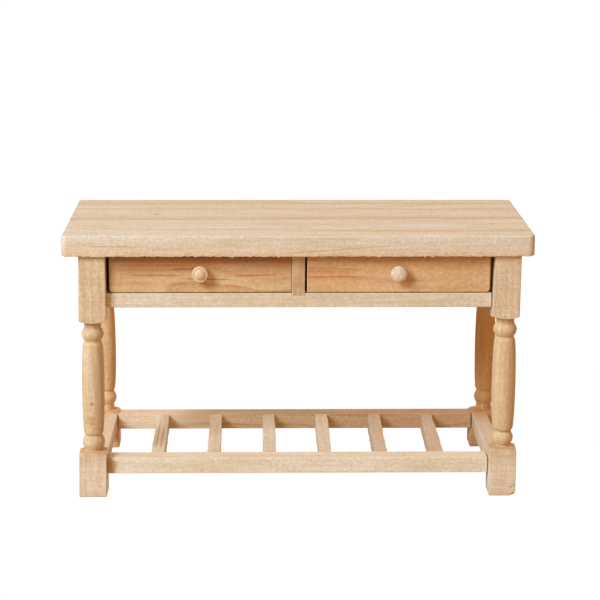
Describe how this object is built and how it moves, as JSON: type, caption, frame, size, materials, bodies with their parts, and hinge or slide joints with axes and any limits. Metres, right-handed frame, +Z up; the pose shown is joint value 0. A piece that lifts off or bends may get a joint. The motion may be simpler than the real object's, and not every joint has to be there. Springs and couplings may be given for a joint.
{
  "type": "miniature work table",
  "caption": "Dolls house side table with turned legs, drawers that slide out under a thick wooden top, and a slatted shelf near the floor.",
  "frame": {"origin": "at floor level, under the middle of the top", "axes": "+Z up, +X to the right seen from the front, the drawers open towards -Y"},
  "size_m": [0.15, 0.0654, 0.087],
  "materials": {
    "top_pine": "bare sanded wood",
    "turned_pine": "bare sanded wood",
    "rail_pine": "bare sanded wood",
    "apron_pine": "bare sanded wood",
    "inner_board": "bare sanded wood",
    "drawer_front_pine": "bare sanded wood",
    "drawer_box_wood": "bare sanded wood",
    "knob_wood": "bare sanded wood",
    "shelf_pine": "bare sanded wood"
  },
  "bodies": {
    "table": {"tabletop": "top_pine", "leg_front_left": "turned_pine", "leg_front_right": "turned_pine", "leg_rear_left": "turned_pine", "leg_rear_right": "turned_pine", "front_rail": "rail_pine", "drawer_divider": "rail_pine", "rear_apron": "apron_pine", "side_apron_left": "apron_pine", "side_apron_right": "apron_pine", "case_floor": "inner_board", "centre_partition": "inner_board", "front_stretcher": "shelf_pine", "rear_stretcher": "shelf_pine", "side_stretcher_left": "shelf_pine", "side_stretcher_right": "shelf_pine", "shelf_slat_1": "shelf_pine", "shelf_slat_2": "shelf_pine", "shelf_slat_3": "shelf_pine", "shelf_slat_4": "shelf_pine", "shelf_slat_5": "shelf_pine", "shelf_slat_6": "shelf_pine"},
    "drawer_left": {"drawer_left_front": "drawer_front_pine", "drawer_left_side_left": "drawer_box_wood", "drawer_left_side_right": "drawer_box_wood", "drawer_left_back": "drawer_box_wood", "drawer_left_bottom": "inner_board", "drawer_left_knob": "knob_wood"},
    "drawer_right": {"drawer_right_front": "drawer_front_pine", "drawer_right_side_left": "drawer_box_wood", "drawer_right_side_right": "drawer_box_wood", "drawer_right_back": "drawer_box_wood", "drawer_right_bottom": "inner_board", "drawer_right_knob": "knob_wood"}
  },
  "joints": [
    {"name": "drawer_left_slide", "type": "slide", "parent": "table", "child": "drawer_left", "axis": [0, -1, 0], "range_m": [0, 0.038]},
    {"name": "drawer_right_slide", "type": "slide", "parent": "table", "child": "drawer_right", "axis": [0, -1, 0], "range_m": [0, 0.038]}
  ]
}
